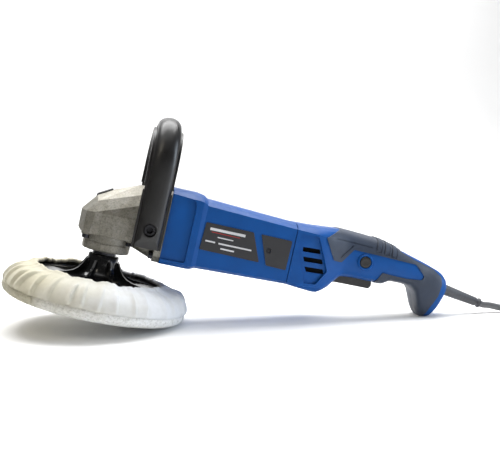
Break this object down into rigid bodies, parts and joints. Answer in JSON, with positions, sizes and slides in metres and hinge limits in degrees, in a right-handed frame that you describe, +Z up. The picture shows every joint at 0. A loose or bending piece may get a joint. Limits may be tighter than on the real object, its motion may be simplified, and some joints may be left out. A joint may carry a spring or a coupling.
{
  "type": "rotary polisher",
  "caption": "Corded rotary polisher: right-angle gear head, bonnet-covered pad, D-shaped front loop handle, long motor housing and hooked rear handle with trigger",
  "frame": {"origin": "floor level, at the middle of the tool's length and width; the free cord lies beyond it at +X", "axes": "+Z up, +X from the pad towards the rear handle, +Y to the tool's right-hand side; the tool's own length slopes down by 12.8 degrees towards +X"},
  "size_m": [0.6356, 0.186, 0.2108],
  "materials": {
    "blue_plastic": "satin-gloss blue moulded plastic with a fine grain",
    "soft_rubber": "matte blue-black overmoulded rubber",
    "black_plastic": "satin black moulded plastic",
    "cast_aluminium": "grainy die-cast, bare",
    "steel": "ground steel",
    "dark_steel": "black oxide",
    "laminated_steel": "stacked laminations",
    "copper": "copper, enamelled on the coils",
    "brass": "plain",
    "carbon": "carbon, matte",
    "foam": "closed-cell foam",
    "wool": "thick cream wool pile",
    "cotton": "off-white cotton, gathered at the hem",
    "cord_rubber": "matte black rubber"
  },
  "bodies": {
    "tool_body": {"armature_bearing_front": "steel", "armature_bearing_rear": "steel", "bearing_plate": "cast_aluminium", "bearing_retainer": "cast_aluminium", "brush_cover_left": "black_plastic", "brush_cover_right": "black_plastic", "brush_holder_left": "brass", "brush_holder_right": "brass", "carbon_brush_left": "carbon", "carbon_brush_right": "carbon", "cord_coil": "cord_rubber", "cord_tail": "cord_rubber", "cord_tie": "black_plastic", "field_coil_front": "copper", "field_coil_rear": "copper", "gear_housing": "cast_aluminium", "gearbox_screw_1": "dark_steel", "gearbox_screw_2": "dark_steel", "gearbox_screw_3": "dark_steel", "gearbox_screw_4": "dark_steel", "handle_screw_1": "dark_steel", "handle_screw_2": "dark_steel", "handle_shell_left": "blue_plastic", "handle_shell_right": "blue_plastic", "intermediate_bearing_front": "steel", "intermediate_bearing_rear": "steel", "loop_handle_bolt_left": "dark_steel", "loop_handle_bolt_right": "dark_steel", "loop_handle_inner": "black_plastic", "loop_handle_outer": "black_plastic", "mains_cord": "cord_rubber", "motor_housing": "blue_plastic", "nameplate_left": "black_plastic", "plug": "cord_rubber", "retainer_screw_1": "dark_steel", "retainer_screw_2": "dark_steel", "retainer_screw_3": "dark_steel", "retainer_screw_4": "dark_steel", "rubber_grip_left": "soft_rubber", "rubber_grip_right": "soft_rubber", "spindle_bearing_lower": "steel", "spindle_bearing_upper": "steel", "stator_core": "laminated_steel", "strain_relief": "cord_rubber", "switch_module": "black_plastic"},
    "spindle": {"spindle_shaft": "steel", "crown_gear": "steel", "backing_plate": "black_plastic", "foam_pad": "foam", "wool_face": "wool", "bonnet_skirt": "cotton"},
    "intermediate": {"intermediate_shaft": "steel", "reduction_gear": "steel"},
    "armature": {"armature_shaft": "steel", "rotor_core": "laminated_steel", "commutator": "copper", "cooling_fan": "black_plastic"},
    "lock_button": {"spindle_lock_button": "black_plastic"},
    "trigger_lever": {"trigger": "black_plastic"},
    "lock_on": {"lock_on_button": "black_plastic"}
  },
  "joints": [
    {"name": "spindle_spin", "type": "hinge", "parent": "tool_body", "child": "spindle", "pos_m": [-0.16357, 0, 0.01778], "axis": [0.2215, 0, 0.9751], "continuous": true},
    {"name": "intermediate_spin", "type": "hinge", "parent": "tool_body", "child": "intermediate", "pos_m": [-0.1457, 0, 0.09643], "axis": [0.9751, 0, -0.2215], "continuous": true},
    {"name": "armature_spin", "type": "hinge", "parent": "tool_body", "child": "armature", "pos_m": [-0.14221, 0, 0.11179], "axis": [0.9751, 0, -0.2215], "continuous": true},
    {"name": "spindle_lock_press", "type": "slide", "parent": "tool_body", "child": "lock_button", "axis": [-0.2215, 0, -0.9751], "range_m": [0, 0.003], "stiffness_N_per_m": 600, "springref_m": -0.002},
    {"name": "trigger_pull", "type": "hinge", "parent": "tool_body", "child": "trigger_lever", "pos_m": [0.0819, 0, 0.04201], "axis": [0, -1, 0], "range_deg": [0, 6], "stiffness_Nm_per_rad": 0.6, "springref_deg": -5.73},
    {"name": "lock_on_press", "type": "slide", "parent": "tool_body", "child": "lock_on", "axis": [0, 1, 0], "range_m": [0, 0.0025], "stiffness_N_per_m": 400, "springref_m": -0.001}
  ],
  "couplings": [
    {"joint": "intermediate_spin", "follows": "spindle_spin", "ratio": -2.5},
    {"joint": "armature_spin", "follows": "spindle_spin", "ratio": 10}
  ]
}
